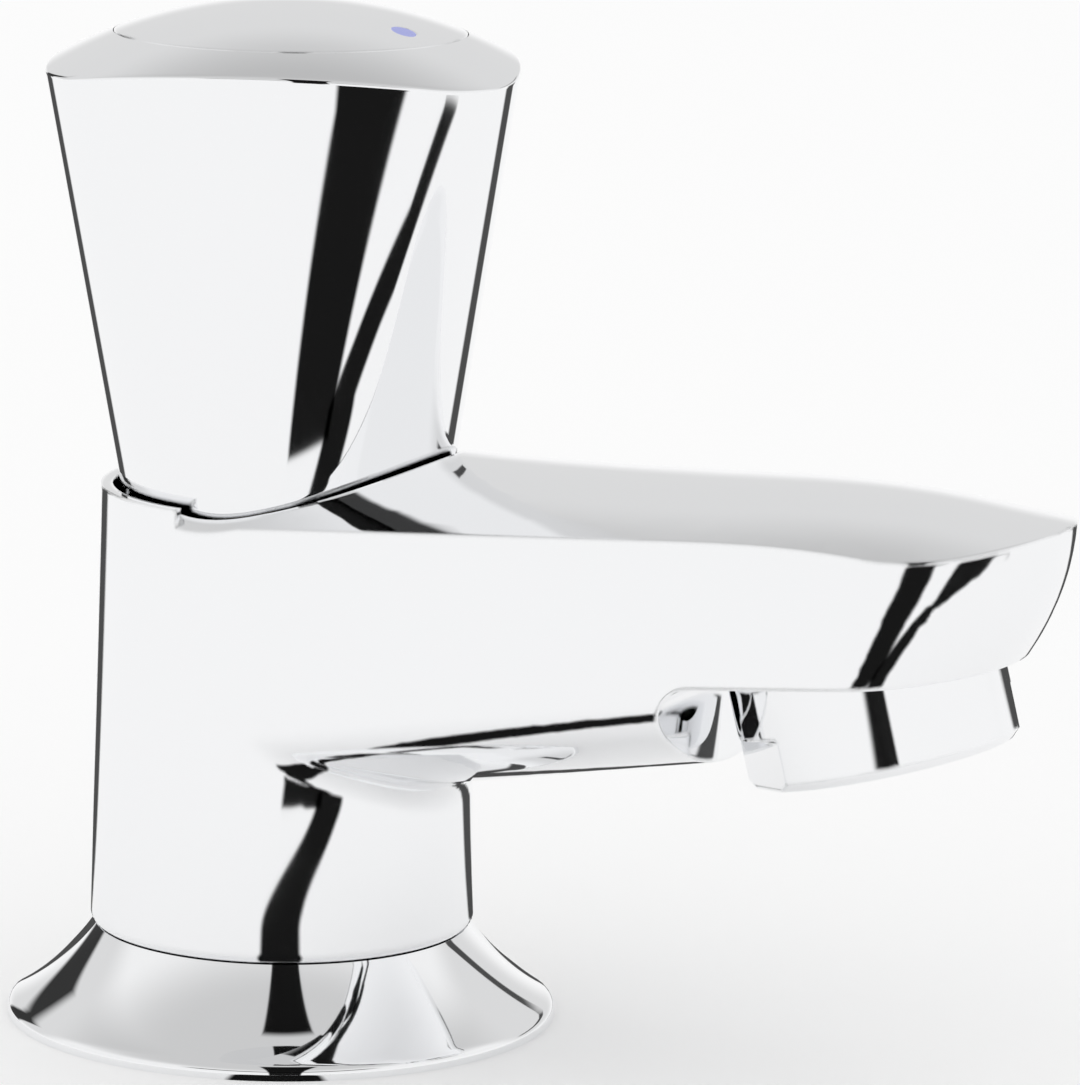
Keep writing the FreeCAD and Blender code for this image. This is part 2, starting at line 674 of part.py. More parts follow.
def retaining_clip():
    """An open clip in the spindle's top groove, on the neck of the housing."""
    radius, clip, thick = size("spindle_radius"), value(CLIP), size("clip_thickness")
    low = FreeCAD.Vector(0, 0, clip)
    inner = radius - size("ring_wire") + 0.1
    solid = Part.makeCylinder(radius + 1.4, thick, low).cut(Part.makeCylinder(inner, thick, low))
    gap = Part.makeBox(radius * 3, 3.4, thick, FreeCAD.Vector(0, -1.7, clip))
    return solid.cut(gap)


def headwork_housing():
    """The brass housing: a windowed cage round the discs, a thread, a hexagon and a neck."""
    cage_floor, thread_floor = value(CAGE_FLOOR), value(THREAD_FLOOR)
    collar, hex_top, neck_top = size("collar_floor"), value(HEX_TOP), value(NECK_TOP)
    cavity_top = value(THRUST) + size("thrust_ring_thickness")

    def round_bar(radius, low, high):
        return Part.makeCylinder(radius, high - low, FreeCAD.Vector(0, 0, low))

    solid = round_bar(size("cage_radius"), cage_floor, collar)
    solid = solid.fuse(round_bar(size("headwork_thread_radius"), thread_floor, collar))
    reach = size("hex_across_flats") / math.sqrt(3)
    spots = [FreeCAD.Vector(reach * math.cos(math.pi * n / 3), reach * math.sin(math.pi * n / 3), collar)
             for n in range(7)]
    solid = solid.fuse(Part.Face(Part.makePolygon(spots)).extrude(FreeCAD.Vector(0, 0, hex_top - collar)))
    solid = solid.fuse(round_bar(size("neck_radius"), hex_top, neck_top))
    solid = solid.cut(round_bar(size("cage_bore_radius"), cage_floor, cavity_top))
    solid = solid.cut(round_bar(size("spindle_radius") + size("spindle_clearance"), cage_floor, neck_top))
    window_low, window_high = value(MOVING_DISC) + 0.4, value(THRUST) - 0.8
    wide, cage = size("cage_window"), size("cage_radius")
    window = Part.makeBox(4 * cage, wide, window_high - window_low,
                          FreeCAD.Vector(-2 * cage, -wide / 2, window_low))
    return solid.cut(window).removeSplitter()


def ceramic_disc(floor, notched):
    """A ceramic disc with two sector ports; the upper one has a slot for the spindle's tongue."""
    radius, thick = size("disc_radius"), size("disc_thickness")
    disc = Part.makeCylinder(radius, thick, FreeCAD.Vector(0, 0, floor))
    port = Part.makeCylinder(radius - 1.6, thick, FreeCAD.Vector(0, 0, floor), FreeCAD.Vector(0, 0, 1), 80)
    port = port.cut(Part.makeCylinder(1.6, thick, FreeCAD.Vector(0, 0, floor)))
    start = 5 if notched else 95
    for turn in (start, start + 180):
        tool = port.copy()
        tool.rotate(FreeCAD.Vector(0, 0, 0), FreeCAD.Vector(0, 0, 1), turn)
        disc = disc.cut(tool)
    if notched:
        wide = size("tongue_width") + 2 * size("tongue_clearance")
        deep = size("tongue_height") + size("tongue_clearance")
        slot_corner = FreeCAD.Vector(-wide / 2, -2 * radius, floor + thick - deep)
        slot = Part.makeBox(wide, 4 * radius, deep, slot_corner)
        disc = disc.cut(slot)
    return disc


def handle_insert():
    """The plastic insert in the handle's hub, toothed inside to fit the spindle."""
    teeth = int(size("spline_teeth"))
    floor, top = value(SPLINE_FLOOR), value(HANDLE_WEB)
    gap = size("spindle_clearance")
    solid = Part.makeCylinder(size("insert_radius") - gap, top - floor, FreeCAD.Vector(0, 0, floor))
    socket = spline_profile(size("spline_radius") + gap, size("spline_tooth_depth"), teeth)
    socket = socket.extrude(FreeCAD.Vector(0, 0, value(SPINDLE_TOP) + 0.2 - floor))
    solid = solid.cut(socket.translated(FreeCAD.Vector(0, 0, floor)))
    return solid.cut(Part.makeCylinder(size("screw_radius") + gap, top, FreeCAD.Vector(0, 0, floor)))


def handle_screw():
    """The screw down through the web into the spindle, with a cross recess."""
    head, height = size("screw_head_radius"), size("screw_head_height")
    seat = value(HANDLE_WEB) + size("handle_web_thickness")
    tip = value(SPINDLE_TOP) - size("spline_length") + 3
    gap = size("spindle_clearance")
    solid = Part.makeCylinder(size("screw_radius") - gap, seat - tip, FreeCAD.Vector(0, 0, tip))
    solid = solid.fuse(Part.makeCylinder(head, height, FreeCAD.Vector(0, 0, seat)))
    for across, along in ((head * 1.2, 0.9), (0.9, head * 1.2)):
        slot = Part.makeBox(across, along, height, FreeCAD.Vector(-across / 2, -along / 2, seat + height / 2))
        solid = solid.cut(slot)
    return solid.removeSplitter()


def aerator_housing():
    """The chromed housing with a thread above, two wrench flats and a lip that holds the core."""
    radius, skirt = size("aerator_radius"), size("aerator_skirt")
    thread, length = size("aerator_thread_radius"), size("aerator_thread_length")
    bore, lip = size("aerator_bore_radius"), size("aerator_lip")
    solid = Part.makeCylinder(radius, skirt)
    foot_edge = [e for e in solid.Edges if e.BoundBox.ZMax < 0.01]
    solid = solid.makeChamfer(0.7, foot_edge)
    solid = solid.fuse(Part.makeCylinder(thread, length, FreeCAD.Vector(0, 0, skirt)))
    solid = solid.cut(Part.makeCylinder(bore, skirt + length, FreeCAD.Vector(0, 0, lip)))
    solid = solid.cut(Part.makeCylinder(bore - lip, skirt + length))
    flat, high = size("aerator_flats") / 2, size("aerator_flat_height")
    for turn in (0, TURN / 2):
        block = Part.makeBox(radius, 2 * radius, high, FreeCAD.Vector(flat, -radius, 0))
        block.rotate(FreeCAD.Vector(0, 0, 0), FreeCAD.Vector(0, 0, 1), size("aerator_flat_turn") + turn)
        solid = solid.cut(block)
    return solid.removeSplitter()


def aerator_core():
    """The plastic core: a rim, a hub and spokes that break the jet, on the housing's lip."""
    bore, lip = size("aerator_bore_radius"), size("aerator_lip")
    gap = size("aerator_clearance")
    height = size("aerator_skirt") + size("aerator_thread_length") - lip
    solid = Part.makeCylinder(bore - gap, height, FreeCAD.Vector(0, 0, lip))
    wall = size("core_wall")
    solid = solid.cut(Part.makeCylinder(bore - wall, height - wall, FreeCAD.Vector(0, 0, lip)))
    hole = Part.makeCylinder(size("core_hole_radius"), 2 * height, FreeCAD.Vector((bore - wall) * 0.65, 0, 0))
    for n in range(8):
        tool = hole.copy()
        tool.rotate(FreeCAD.Vector(0, 0, 0), FreeCAD.Vector(0, 0, 1), n * TURN / 8)
        solid = solid.cut(tool)
    return solid


def outlet_grille():
    """The grille in the outlet, a disc of square cells made by a loop."""
    radius = size("aerator_bore_radius") - size("core_wall") - size("aerator_clearance")
    lip, thick = size("aerator_lip"), size("grille_thickness")
    pitch, bar = size("grille_pitch"), size("grille_bar")
    disc = Part.makeCylinder(radius, thick, FreeCAD.Vector(0, 0, lip))
    count = int(radius / pitch)
    cells = []
    for row in range(-count, count + 1):
        for column in range(-count, count + 1):
            x, y = column * pitch, row * pitch
            if math.hypot(abs(x) + pitch / 2, abs(y) + pitch / 2) < radius - bar:
                corner = FreeCAD.Vector(x - (pitch - bar) / 2, y - (pitch - bar) / 2, lip)
                cells.append(Part.makeBox(pitch - bar, pitch - bar, thick, corner))
    return disc.cut(Part.makeCompound(cells))


def deck_fixing():
    """Shank, its seal, the rubber and steel washers and the nut under the deck."""
    thread, bore = "sizes.thread_radius", "sizes.shank_bore_radius"
    top = "sizes.shank_below_deck + sizes.flange_height + sizes.socket_depth - sizes.shank_seal_thickness"
    groove_floor = "sizes.supply_thread_length"
    groove_top = groove_floor + " + sizes.relief_width"
    relief = thread + " - sizes.relief_depth"
    lead = "sizes.shank_lead_in"
    turned("threaded_shank", [
        (bore, "0"), (thread + " - " + lead, "0"), (thread, lead), (thread, groove_floor),
        (relief, groove_floor), (relief, groove_top), (thread, groove_top), (thread, top), (bore, top),
    ], z="-sizes.shank_below_deck")
    tube("shank_seal", bore, thread + " - 0.3", "sizes.shank_seal_thickness",
         z=SEAT_FLOOR + " - sizes.shank_seal_thickness")
    loose = thread + " + sizes.washer_clearance"
    tube("deck_gasket", loose, "sizes.gasket_recess_radius - sizes.gasket_side_gap", "sizes.gasket_height")
    tube("clamp_gasket", loose, "sizes.clamp_gasket_radius", "sizes.clamp_gasket_thickness",
         z="-sizes.clamped_deck - sizes.clamp_gasket_thickness")
    washer_floor = "-sizes.clamped_deck - sizes.clamp_gasket_thickness - sizes.clamp_washer_thickness"
    tube("clamp_washer", loose, "sizes.clamp_washer_radius", "sizes.clamp_washer_thickness", z=washer_floor)
    nut = new_body("backnut")
    polygon_pad(nut, "backnut_hexagon", 6, "sizes.nut_across_flats", "0 mm",
                "sizes.nut_height - sizes.nut_collar_height")
    collar = new_sketch(nut, "backnut_collar_circle", "XY_Plane")
    ring = collar.addGeometry(Part.Circle(FreeCAD.Vector(0, 0, 0), FreeCAD.Vector(0, 0, 1),
                                          size("nut_collar_radius")), False)
    collar.addConstraint(Sketcher.Constraint("Coincident", ring, 3, -1, 1))
    bind(collar, Sketcher.Constraint("Radius", ring, size("nut_collar_radius")), "sizes.nut_collar_radius")
    collar.setExpression("AttachmentOffset.Base.z", "sizes.nut_height - sizes.nut_collar_height")
    disc = nut.newObject("PartDesign::Pad", "backnut_collar")
    disc.Profile = collar
    disc.setExpression("Length", "sizes.nut_collar_height")
    round_pocket(nut, "backnut_bore", thread + " + sizes.thread_clearance", "0 mm", "sizes.nut_height")
    place(nut, washer_floor + " - sizes.nut_height")


def headwork():
    """The quarter-turn ceramic headwork, piece by piece from its seat up."""
    tube("seat_seal", "sizes.seat_hole_radius + 0.4", "sizes.cage_bore_radius - 0.1",
         "sizes.seat_seal_height", z=CHAMBER_FLOOR)
    shaped("fixed_disc", ceramic_disc(value(FIXED_DISC), False))
    shaped("moving_disc", ceramic_disc(value(MOVING_DISC), True))
    shaped("spindle", spindle())
    tube("thrust_ring", "sizes.spindle_radius + 0.1", "sizes.cage_bore_radius - 0.2",
         "sizes.thrust_ring_thickness", z=THRUST)
    shaped("spindle_rings", spindle_rings())
    shaped("retaining_clip", retaining_clip())
    shaped("headwork_housing", headwork_housing())


def handle():
    """Shell, insert, screw, cap and cold water dot."""
    shaped("handle_shell", handle_shell())
    shaped("handle_insert", handle_insert())
    shaped("handle_screw", handle_screw())
    shaped("index_cap", index_cap())
    shaped("cold_dot", cold_dot())


def outlet():
    """Aerator housing, core, grille and the seal over them."""
    shaped("aerator_housing", at_outlet(aerator_housing()))
    shaped("aerator_core", at_outlet(aerator_core()))
    shaped("outlet_grille", at_outlet(outlet_grille()))
    seal = Part.makeCylinder(size("aerator_thread_radius") - 0.1, size("outlet_seal_height"),
                             FreeCAD.Vector(0, 0, size("aerator_skirt") + size("aerator_thread_length")))
    seal = seal.cut(Part.makeCylinder(size("aerator_bore_radius") - 1.0, 2 * size("aerator_skirt"),
                                      FreeCAD.Vector(0, 0, size("aerator_skirt"))))
    shaped("outlet_seal", at_outlet(seal))


def write_parts():
    """Checks every object and sub-part, then writes one file for each sub-part."""
    doc.recompute()
    for thing in doc.Objects:
        bad = [word for word in thing.State if word in ("Invalid", "Error")]
        if bad:
            raise RuntimeError("%s is %s" % (thing.Label, bad))
    os.makedirs(PARTS, exist_ok=True)
    for piece in made:
        shape = piece.Shape
        if shape.isNull() or not shape.isValid() or not shape.Solids:
            raise RuntimeError("%s has no sound solid" % piece.Label)
        shape.exportStep(os.path.join(PARTS, piece.Label + ".step"))
        print("%-18s %9.1f mm3  %d solid(s)" % (piece.Label, shape.Volume, len(shape.Solids)))


shaped("base_flange", base_flange())
shaped("body", tap_body())
deck_fixing()
headwork()
handle()
outlet()
write_parts()
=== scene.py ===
import json
import math

import bmesh
import bpy
from mathutils import Matrix, Vector


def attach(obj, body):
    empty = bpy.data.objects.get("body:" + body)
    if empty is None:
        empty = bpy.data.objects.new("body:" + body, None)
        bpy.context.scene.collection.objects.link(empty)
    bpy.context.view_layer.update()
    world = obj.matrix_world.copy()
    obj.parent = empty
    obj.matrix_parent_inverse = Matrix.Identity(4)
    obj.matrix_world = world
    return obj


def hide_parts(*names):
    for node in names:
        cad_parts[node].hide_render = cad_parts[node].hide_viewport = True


# The looks of a chromed cold water pillar tap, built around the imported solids. Metres.

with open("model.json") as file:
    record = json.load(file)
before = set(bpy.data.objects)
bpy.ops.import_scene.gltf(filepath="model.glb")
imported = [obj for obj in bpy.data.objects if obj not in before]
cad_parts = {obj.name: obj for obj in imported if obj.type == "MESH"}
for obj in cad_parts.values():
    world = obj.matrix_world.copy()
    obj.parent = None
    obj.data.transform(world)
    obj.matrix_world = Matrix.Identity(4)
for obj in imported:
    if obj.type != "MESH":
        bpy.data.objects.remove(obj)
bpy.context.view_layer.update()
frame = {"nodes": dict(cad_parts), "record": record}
NODES = frame["nodes"]
MM = 0.001

# Where the camera stands: turned from the side of the spout towards its end, a little above.
CAMERA_TURN = math.radians(27.0)
CAMERA_LIFT = math.radians(11.0)
CAMERA_ROLL = math.radians(1.0)
CAMERA_AWAY = 0.6
CAMERA_NEAREST, CAMERA_FARTHEST = 0.01, 20.0
AIM_HEIGHT = 0.045
PICTURE_WIDE, PICTURE_HIGH = 1080, 1085
FOCAL_PIXELS = 6707.0
AIM_PIXEL = (286.0, 522.5)
SENSOR = 36.0


def deselect():
    bpy.ops.object.select_all(action="DESELECT")


def points_of(piece):
    """The points of the piece that is open in edit mode."""
    points = bmesh.from_edit_mesh(piece.data).verts
    points.ensure_lookup_table()
    return points


# Studio

# White screens stand round the tap with dark gaps between them, and only the chrome shows the gaps.
# Directions round the tap are in degrees, and this is the camera's own.
VIEW_ANGLE = math.degrees(CAMERA_TURN) - 90.0
WHITE_LEVEL = 0.97
GAP_LEVEL = 0.01

# Gaps behind the tap, each by its middle, half width, edge and depth. The first ends between two
# heights. The second is a thin line, with the heights between which its lower and upper edges lie.
BACK_GAP = (VIEW_ANGLE - 147.0, 8.0, 2.0, 0.95)
BACK_GAP_TOP = (0.40, 0.50)
BACK_LINE = (VIEW_ANGLE + 139.0, 17.0, 3.0, 0.9)
BACK_LINE_LOW, BACK_LINE_HIGH = (0.27, 0.285), (0.325, 0.335)

# Two more dark gaps are painted on the deck behind the tap, seen only in the chrome: painted reflections.
PAINTED_BACK_DECK_REFLECTIONS = (
    (VIEW_ANGLE + 139.0, 8.0, 2.0, 0.92),
    (VIEW_ANGLE - 152.0, 9.0, 2.0, 0.92),
)

# In front a gap runs over the tap as a strip: its place, half width and edge across the view, and how
# far ahead of the tap it ends.
FRONT_STRIP, FRONT_HALF, FRONT_SOFT = 0.03, 0.105, 0.015
FRONT_REACH = (0.04, 0.11)

# Between the front screens and the one overhead lies a thin gap.
SHOULDER_GAP = (VIEW_ANGLE, 42.0, 6.0, 1.0)
SHOULDER_LOW, SHOULDER_HIGH = (0.49, 0.52), (0.59, 0.62)
SHOULDER_DEPTH = 0.95

# The screens darken from the horizon up.
HORIZON_LEVEL, MIDDLE_LEVEL, ZENITH_LEVEL = 0.97, 0.74, 0.50
MIDDLE_LIFT, ZENITH_START, ZENITH_LIFT = 0.22, 0.55, 0.92

# Those in front and beside the tap are brighter than the ones behind it.
FRONT_LIFT, FRONT_LIFT_SPAN = 1.25, (-0.55, -0.25)

# Dark gaps painted on the deck, seen only in the chrome: painted reflections. "starts" and "ends" are the
# distances from the tap between which a gap fades in and out. "run" gives two distances and its directions
# there, "bend" what is added to them before the run, "half" its half width at two distances, and "soft" its
# edge.
PAINTED_DECK_REFLECTIONS = (
    {
        "starts": None,
        "ends": (0.204, 0.209),
        "run": ((0.135, 0.205), (26.0, 63.0)),
        "bend": ((0.07, 0.135), (-27.0, 0.0)),
        "half": ((0.08, 0.15), (10.0, 5.8)),
        "soft": 1.0,
    },
    {
        "starts": (0.1265, 0.129),
        "ends": (0.30, 0.34),
        "run": ((0.13, 0.22), (10.0, 22.5)),
        "bend": None,
        "half": ((0.13, 0.22), (11.0, 12.5)),
        "soft": 1.0,
    },
    {
        "starts": (0.45, 0.55),
        "ends": None,
        "run": ((0.5, 1.0), (0.5, 0.5)),
        "bend": None,
        "half": ((0.5, 1.0), (5.5, 5.5)),
        "soft": 1.5,
    },
)

DECK_HOLE = 17.5 * MM
DECK_CORNERS = 96
DECK_REACHES = (0.03, 0.1, 0.5, 3.0)


def node(tree, kind, **values):
    made = tree.nodes.new(kind)
    for name, value in values.items():
        setattr(made, name, value)
    return made


def calc(tree, operation, a, b=None, c=None):
    """A Math node fed by sockets or numbers."""
    made = node(tree, "ShaderNodeMath", operation=operation)
    for slot, value in enumerate((a, b, c)):
        if value is None:
            continue
        if isinstance(value, (int, float)):
            made.inputs[slot].default_value = value
        else:
            tree.links.new(value, made.inputs[slot])
    return made.outputs[0]


def product(tree, levels):
    total = levels[0]
    for level in levels[1:]:
        total = calc(tree, "MULTIPLY", total, level)
    return total


def highest(tree, levels):
    top = levels[0]
    for level in levels[1:]:
        top = calc(tree, "MAXIMUM", top, level)
    return top


def ramp(tree, value, low, high, at_low, at_high, kind="SMOOTHSTEP"):
    """Goes from one level to another while the value goes from low to high."""
    made = node(tree, "ShaderNodeMapRange", interpolation_type=kind)
    tree.links.new(value, made.inputs["Value"])
    made.inputs["From Min"].default_value = low
    made.inputs["From Max"].default_value = high
    made.inputs["To Min"].default_value = at_low
    made.inputs["To Max"].default_value = at_high
    return made.outputs["Result"]


def bearing(tree, direction):
    """The angle of a direction round the upright axis, and its height."""
    parts = node(tree, "ShaderNodeSeparateXYZ")
    tree.links.new(direction, parts.inputs[0])
    return calc(tree, "ARCTAN2", parts.outputs["Y"], parts.outputs["X"]), parts.outputs["Z"]


def along(tree, direction, axis):
    """How far a direction runs along an axis."""
    made = node(tree, "ShaderNodeVectorMath", operation="DOT_PRODUCT")
    tree.links.new(direction, made.inputs[0])
    made.inputs[1].default_value = axis
    return made.outputs["Value"]


def turned_away(tree, angle, middle):
    """How far an angle is from the middle one, to either side."""
    turn = calc(tree, "WRAP", calc(tree, "SUBTRACT", angle, middle), math.pi, -math.pi)
    return calc(tree, "ABSOLUTE", turn)


def upright_gap(tree, angle, gap):
    """A gap at all heights: 1 beside it, and lower by its depth inside."""
    middle, half, soft, depth = gap
    away = turned_away(tree, angle, math.radians(middle))
    level = ramp(tree, away, math.radians(half - soft), math.radians(half + soft), 0.0, 1.0)
    return calc(tree, "MULTIPLY_ADD", level, depth, 1.0 - depth)


def level_gap(tree, angle, lift, gap, low, high):
    """A gap that lies between two heights."""
    below = ramp(tree, lift, *low, 1.0, 0.0)
    above = ramp(tree, lift, *high, 0.0, 1.0)
    return highest(tree, [upright_gap(tree, angle, gap), below, above])


def back_gap(tree, angle, lift):
    above = ramp(tree, lift, *BACK_GAP_TOP, 0.0, 1.0)
    return highest(tree, [upright_gap(tree, angle, BACK_GAP), above])


def front_gap(tree, across, ahead):
    aside = calc(tree, "ABSOLUTE", calc(tree, "SUBTRACT", across, FRONT_STRIP))
    strip = ramp(tree, aside, FRONT_HALF, FRONT_HALF + FRONT_SOFT, GAP_LEVEL, 1.0)
    behind = ramp(tree, ahead, *FRONT_REACH, 1.0, 0.0)
    return highest(tree, [strip, behind])


def shoulder_gap(tree, angle, lift):
    level = level_gap(tree, angle, lift, SHOULDER_GAP, SHOULDER_LOW, SHOULDER_HIGH)
    return calc(tree, "MULTIPLY_ADD", level, SHOULDER_DEPTH, 1.0 - SHOULDER_DEPTH)


def screens(tree, lift, ahead, gaps):
    """How bright the screens and the gaps between them are."""
    low = ramp(tree, lift, 0.0, MIDDLE_LIFT, HORIZON_LEVEL, MIDDLE_LEVEL)
    high = ramp(tree, lift, ZENITH_START, ZENITH_LIFT, 1.0, ZENITH_LEVEL / MIDDLE_LEVEL)
    level = product(tree, gaps + [low, high])
    lifted = calc(tree, "MINIMUM", calc(tree, "MULTIPLY", level, FRONT_LIFT), WHITE_LEVEL)
    in_front = ramp(tree, ahead, *FRONT_LIFT_SPAN, 0.0, 1.0)
    return calc(tree, "MULTIPLY_ADD", calc(tree, "SUBTRACT", lifted, level), in_front, level)


def seen_in_chrome(tree, plain, level):
    """One value for the light and the picture, another for what the chrome shows."""
    light = node(tree, "ShaderNodeLightPath")
    choice = node(tree, "ShaderNodeMix", data_type="FLOAT")
    tree.links.new(light.outputs["Is Glossy Ray"], choice.inputs["Factor"])
    choice.inputs["A"].default_value = plain
    tree.links.new(level, choice.inputs["B"])
    return choice.outputs["Result"]


def make_world():
    """Plain white for the light and the picture, the screens and their gaps for the chrome."""
    world = bpy.data.worlds.new("studio")
    bpy.context.scene.world = world
    world.use_nodes = True
    tree = world.node_tree
    tree.nodes.clear()
    where = node(tree, "ShaderNodeTexCoord").outputs["Generated"]
    angle, lift = bearing(tree, where)
    across = along(tree, where, (math.cos(CAMERA_TURN), math.sin(CAMERA_TURN), 0.0))
    ahead = along(tree, where, (math.sin(CAMERA_TURN), -math.cos(CAMERA_TURN), 0.0))
    gaps = [
        front_gap(tree, across, ahead),
        back_gap(tree, angle, lift),
        level_gap(tree, angle, lift, BACK_LINE, BACK_LINE_LOW, BACK_LINE_HIGH),
        shoulder_gap(tree, angle, lift),
    ]
    sky = node(tree, "ShaderNodeBackground")
    level = screens(tree, lift, ahead, gaps)
    tree.links.new(seen_in_chrome(tree, 1.0, level), sky.inputs["Color"])
    out = node(tree, "ShaderNodeOutputWorld")
    tree.links.new(sky.outputs[0], out.inputs["Surface"])


def painted_deck_reflection(tree, angle, away, gap):
    """A painted reflection: a dark gap painted on the deck for the chrome to show, which turns and narrows
    with the distance from the tap.
    """
    (near, far), turns = gap["run"]
    turns = [math.radians(VIEW_ANGLE + turn) for turn in turns]
    middle = ramp(tree, away, near, far, *turns, kind="LINEAR")
    if gap["bend"]:
        (near, far), turns = gap["bend"]
        turns = [math.radians(turn) for turn in turns]
        middle = calc(tree, "ADD", middle, ramp(tree, away, near, far, *turns))
    (near, far), widths = gap["half"]
    widths = [math.radians(wide) for wide in widths]
    half = ramp(tree, away, near, far, *widths, kind="LINEAR")
    outside = calc(tree, "SUBTRACT", turned_away(tree, angle, middle), half)
    soft = math.radians(gap["soft"])
    levels = [ramp(tree, outside, -soft, soft, GAP_LEVEL, 1.0)]
    if gap["starts"]:
        levels.append(ramp(tree, away, *gap["starts"], 1.0, 0.0))
    if gap["ends"]:
        levels.append(ramp(tree, away, *gap["ends"], 0.0, 1.0))
    return highest(tree, levels)


def deck_finish():
    """White to the light and the picture, with dark gaps painted on it that only the chrome shows: painted
    reflections.
    """
    material = bpy.data.materials.new("white deck with painted reflections")
    material.use_nodes = True
    tree = material.node_tree
    tree.nodes.clear()
    where = node(tree, "ShaderNodeTexCoord").outputs["Object"]
    angle, _ = bearing(tree, where)
    length = node(tree, "ShaderNodeVectorMath", operation="LENGTH")
    tree.links.new(where, length.inputs[0])
    away = length.outputs["Value"]
    # Painted reflections: dark gaps on the deck that only reflected (glossy) rays see.
    gaps = [painted_deck_reflection(tree, angle, away, gap) for gap in PAINTED_DECK_REFLECTIONS]
    gaps += [upright_gap(tree, angle, gap) for gap in PAINTED_BACK_DECK_REFLECTIONS]
    level = product(tree, gaps + [WHITE_LEVEL])
    paint = node(tree, "ShaderNodeBsdfDiffuse")
    tree.links.new(seen_in_chrome(tree, WHITE_LEVEL, level), paint.inputs["Color"])
    out = node(tree, "ShaderNodeOutputMaterial")
    tree.links.new(paint.outputs[0], out.inputs["Surface"])
    return material


def make_deck():
    """The white deck that the tap stands on, with the hole that its shank goes through."""
    deselect()
    bpy.ops.mesh.primitive_circle_add(vertices=DECK_CORNERS, radius=DECK_HOLE, location=(0, 0, 0))
    deck = bpy.context.object
    deck.name = "deck"
    bpy.ops.object.mode_set(mode="EDIT")
    bpy.ops.mesh.select_all(action="SELECT")
    for reach in DECK_REACHES:
        bpy.ops.mesh.extrude_edges_move()
        radius = max(point.co.length for point in points_of(deck) if point.select)
        bpy.ops.transform.resize(value=(reach / radius,) * 3)
    bpy.ops.object.mode_set(mode="OBJECT")
    deck.data.materials.append(deck_finish())


def make_camera():
    """The photograph's view: the tap's axis stands left of the middle and the picture leans a little."""
    back = Vector((math.sin(CAMERA_TURN) * math.cos(CAMERA_LIFT),
                   -math.cos(CAMERA_TURN) * math.cos(CAMERA_LIFT), math.sin(CAMERA_LIFT)))
    aim = Vector((0, 0, AIM_HEIGHT))
    right = Vector((math.cos(CAMERA_TURN), math.sin(CAMERA_TURN), 0))
    up = back.cross(right)
    per_pixel = CAMERA_AWAY / FOCAL_PIXELS
    centre = aim + right * (PICTURE_WIDE / 2 - AIM_PIXEL[0]) * per_pixel
    centre -= up * (PICTURE_HIGH / 2 - AIM_PIXEL[1]) * per_pixel
    place = aim + back * CAMERA_AWAY
    z = (place - centre).normalized()
    x = Vector((0, 0, 1)).cross(z).normalized()
    turn = Matrix((x, z.cross(x), z)).transposed() @ Matrix.Rotation(CAMERA_ROLL, 3, "Z")
    camera = bpy.data.objects.new("camera", bpy.data.cameras.new("camera"))
    bpy.context.scene.collection.objects.link(camera)
    camera.matrix_world = Matrix.Translation(place) @ turn.to_4x4()
    camera.data.sensor_width = SENSOR
    camera.data.lens = FOCAL_PIXELS * SENSOR / PICTURE_HIGH
    camera.data.clip_start = CAMERA_NEAREST
    camera.data.clip_end = CAMERA_FARTHEST
    bpy.context.scene.camera = camera


# Finishes

CHROME_COLOUR, CHROME_ROUGHNESS = (0.93, 0.935, 0.945), 0.03
PATCH_SCALE, PATCH_DETAIL, PATCH_SPAN = 70.0, 3.0, (0.35, 0.65)
FINEST_POLISH, DULLEST_POLISH = 0.02, 0.04
EDGE_SOFTNESS, EDGE_SAMPLES = 0.6 * MM, 6
GRAIN_DETAIL, GRAIN_STRENGTH = 4.0, 0.4


def finish_of(name, colour, metallic, roughness):
    material = bpy.data.materials.new(name)
    material.use_nodes = True
    shader = material.node_tree.nodes["Principled BSDF"]
    shader.inputs["Base Color"].default_value = (*colour, 1.0)
    shader.inputs["Metallic"].default_value = metallic
    shader.inputs["Roughness"].default_value = roughness
    return material


def noise_on(tree, scale, detail):
    """A noise in the piece's own coordinates."""
    where = node(tree, "ShaderNodeTexCoord")
    noise = node(tree, "ShaderNodeTexNoise")
    noise.inputs["Scale"].default_value = scale
    noise.inputs["Detail"].default_value = detail
    tree.links.new(where.outputs["Object"], noise.inputs["Vector"])
    return noise.outputs["Fac"]


def chrome(name):
    """Polished chrome, a little duller in broad patches."""
    material = finish_of(name, CHROME_COLOUR, 1.0, CHROME_ROUGHNESS)
    tree = material.node_tree
    noise = noise_on(tree, PATCH_SCALE, PATCH_DETAIL)
    patches = ramp(tree, noise, *PATCH_SPAN, FINEST_POLISH, DULLEST_POLISH)
    tree.links.new(patches, tree.nodes["Principled BSDF"].inputs["Roughness"])
    return material


def soften_edges(material, radius):
    """Lets the light see a small radius on every sharp edge, as plating leaves it."""
    tree = material.node_tree
    edge = node(tree, "ShaderNodeBevel", samples=EDGE_SAMPLES)
    edge.inputs["Radius"].default_value = radius
    tree.links.new(edge.outputs["Normal"], tree.nodes["Principled BSDF"].inputs["Normal"])
    return material


def add_grain(material, scale, distance):
    """A fine uneven surface."""
    tree = material.node_tree
    bump = node(tree, "ShaderNodeBump")
    bump.inputs["Strength"].default_value = GRAIN_STRENGTH
    bump.inputs["Distance"].default_value = distance
    tree.links.new(noise_on(tree, scale, GRAIN_DETAIL), bump.inputs["Height"])
    tree.links.new(bump.outputs["Normal"], tree.nodes["Principled BSDF"].inputs["Normal"])
    return material


